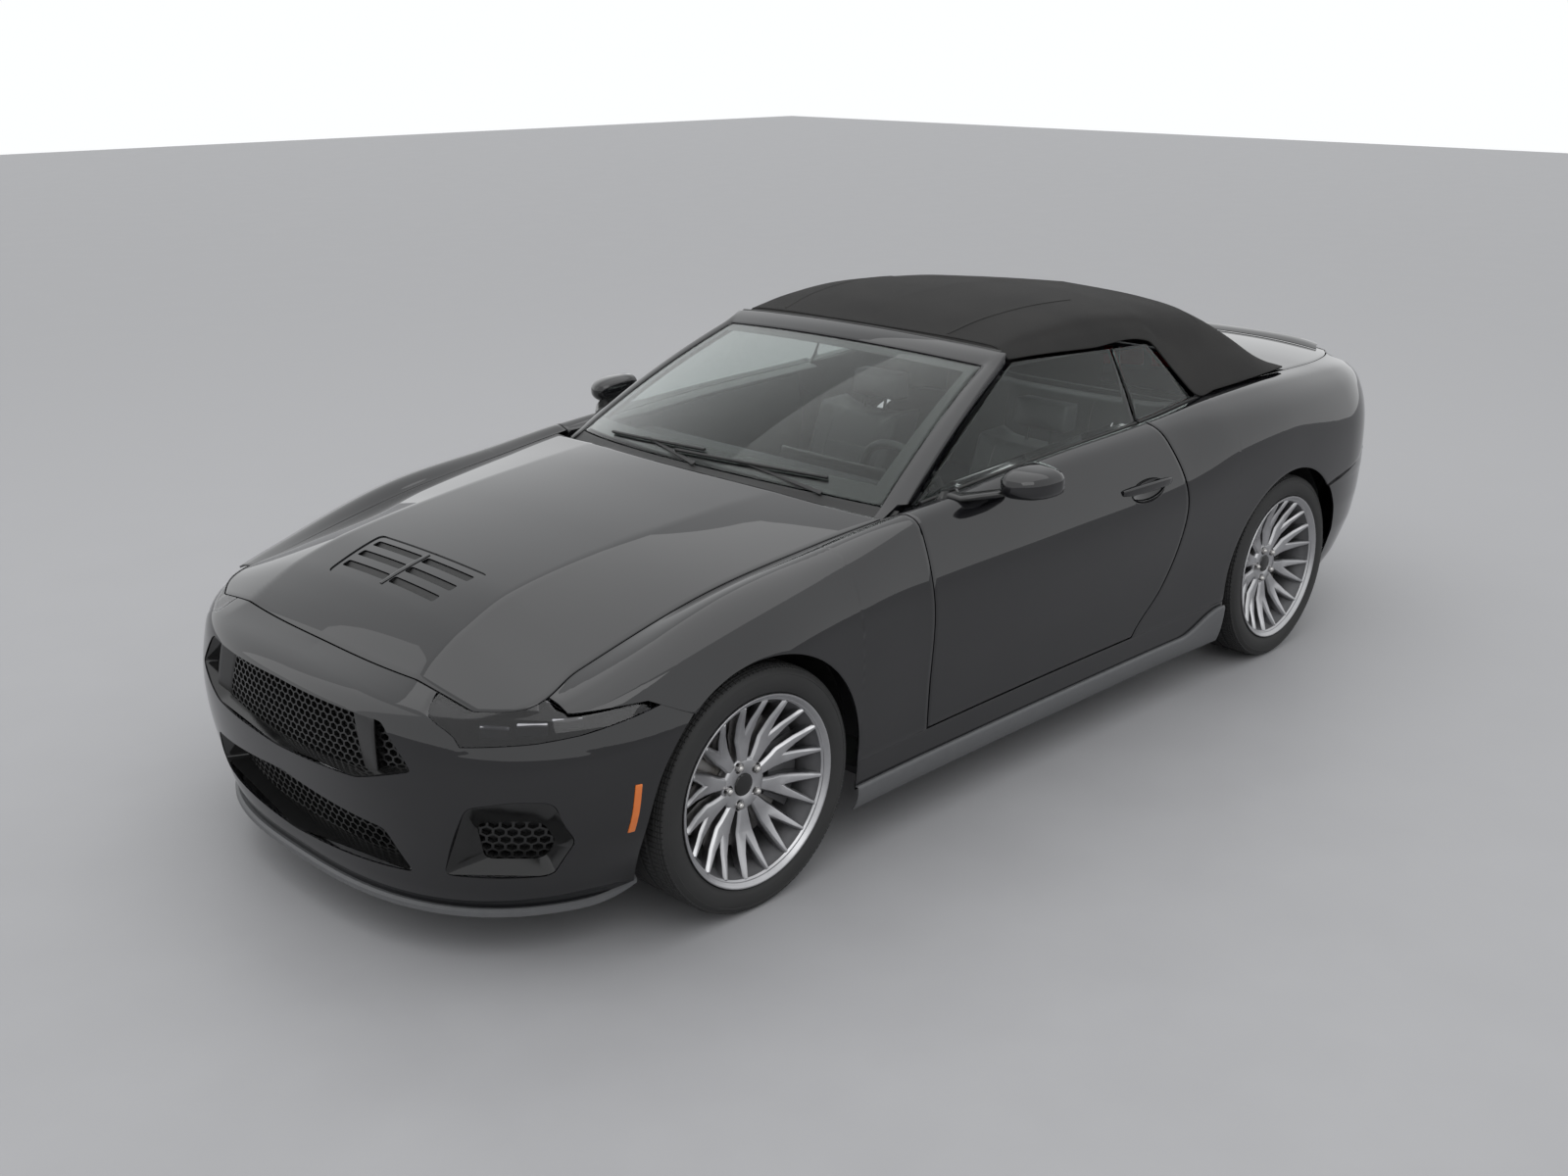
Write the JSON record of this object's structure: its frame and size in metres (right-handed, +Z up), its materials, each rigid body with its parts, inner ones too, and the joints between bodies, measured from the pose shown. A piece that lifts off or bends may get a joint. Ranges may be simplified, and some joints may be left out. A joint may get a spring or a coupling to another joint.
{
  "type": "muscle car",
  "caption": "Two-door convertible muscle car with a fabric top raised, long vented hood, forked-spoke alloy wheels, opening doors, hood and deck lid, and steered front wheels.",
  "frame": {"origin": "on the ground under the middle of the car's length and width", "axes": "+X forward along the car's length, +Y to the car's left, +Z up"},
  "size_m": [4.8104, 2.0778, 1.3949],
  "materials": {
    "paint": "gloss black",
    "structure": "satin",
    "dark_trim": "matte",
    "grille": "satin",
    "satin_trim": "satin dark grey",
    "lamp_smoke": "smoked",
    "lamp_red": "red lens",
    "top_fabric": "woven",
    "window": "light tint",
    "cabin_trim": "grained",
    "seat_leather": "grained",
    "cast_metal": "cast",
    "radiator": "finned",
    "exhaust_steel": "brushed",
    "tyre": "rubber",
    "wheel_alloy": "satin silver",
    "brake_iron": "machined"
  },
  "bodies": {
    "body": {"floor_pan": "structure", "firewall": "structure", "trunk_tub": "structure", "wheel_liners": "dark_trim", "front_fenders": "paint", "rear_quarters": "paint", "front_bumper": "paint", "upper_grille": "grille", "lower_grille": "grille", "front_splitter": "satin_trim", "headlamps": "lamp_smoke", "rear_bumper": "paint", "tail_lamps": "lamp_red", "soft_top": "top_fabric", "rear_window": "window", "windshield_frame": "paint", "windshield": "window", "wipers": "dark_trim", "side_skirts": "satin_trim", "quarter_windows": "window", "dashboard": "cabin_trim", "steering_wheel": "cabin_trim", "center_console": "cabin_trim", "front_seats": "seat_leather", "rear_seat": "seat_leather", "engine_block": "cast_metal", "radiator": "radiator", "driveline": "cast_metal", "front_subframe": "cast_metal", "rear_subframe": "cast_metal", "exhaust": "exhaust_steel"},
    "hood": {"hood": "paint", "hood_vent": "grille"},
    "deck": {"deck_lid": "paint", "rear_spoiler": "paint"},
    "door_left": {"door_l": "paint", "door_glass_l": "window", "mirror_l": "paint", "handle_l": "paint"},
    "door_right": {"door_r": "paint", "door_glass_r": "window", "mirror_r": "paint", "handle_r": "paint"},
    "steer_left": {"knuckle_fl": "cast_metal"},
    "steer_right": {"knuckle_fr": "cast_metal"},
    "wheel_front_left": {"tyre_fl": "tyre", "rim_fl": "wheel_alloy", "disc_fl": "brake_iron"},
    "wheel_front_right": {"tyre_fr": "tyre", "rim_fr": "wheel_alloy", "disc_fr": "brake_iron"},
    "wheel_rear_left": {"tyre_rl": "tyre", "rim_rl": "wheel_alloy", "disc_rl": "brake_iron"},
    "wheel_rear_right": {"tyre_rr": "tyre", "rim_rr": "wheel_alloy", "disc_rr": "brake_iron"}
  },
  "joints": [
    {"name": "steer_left", "type": "hinge", "parent": "body", "child": "steer_left", "pos_m": [1.5255, 0.75, 0.347], "axis": [0, 0, 1], "range_deg": [-33, 33]},
    {"name": "steer_right", "type": "hinge", "parent": "body", "child": "steer_right", "pos_m": [1.5255, -0.75, 0.347], "axis": [0, 0, 1], "range_deg": [-33, 33]},
    {"name": "spin_front_left", "type": "hinge", "parent": "steer_left", "child": "wheel_front_left", "pos_m": [1.5255, 0.795, 0.347], "axis": [0, 1, 0], "continuous": true},
    {"name": "spin_front_right", "type": "hinge", "parent": "steer_right", "child": "wheel_front_right", "pos_m": [1.5255, -0.795, 0.347], "axis": [0, 1, 0], "continuous": true},
    {"name": "spin_rear_left", "type": "hinge", "parent": "body", "child": "wheel_rear_left", "pos_m": [-1.1945, 0.806, 0.347], "axis": [0, 1, 0], "continuous": true},
    {"name": "spin_rear_right", "type": "hinge", "parent": "body", "child": "wheel_rear_right", "pos_m": [-1.1945, -0.806, 0.347], "axis": [0, 1, 0], "continuous": true},
    {"name": "door_left_swing", "type": "hinge", "parent": "body", "child": "door_left", "pos_m": [0.77528, 0.899, 0.53], "axis": [0, 0, -1], "range_deg": [0, 65]},
    {"name": "door_right_swing", "type": "hinge", "parent": "body", "child": "door_right", "pos_m": [0.77528, -0.899, 0.53], "axis": [0, 0, 1], "range_deg": [0, 65]},
    {"name": "hood_lift", "type": "hinge", "parent": "body", "child": "hood", "pos_m": [0.94499, 0, 0.93205], "axis": [0, -1, 0], "range_deg": [0, 55]},
    {"name": "deck_lift", "type": "hinge", "parent": "body", "child": "deck", "pos_m": [-1.49338, 0, 1.02285], "axis": [0, 1, 0], "range_deg": [0, 75]}
  ],
  "couplings": [
    {"joint": "steer_right", "follows": "steer_left", "ratio": 1}
  ]
}
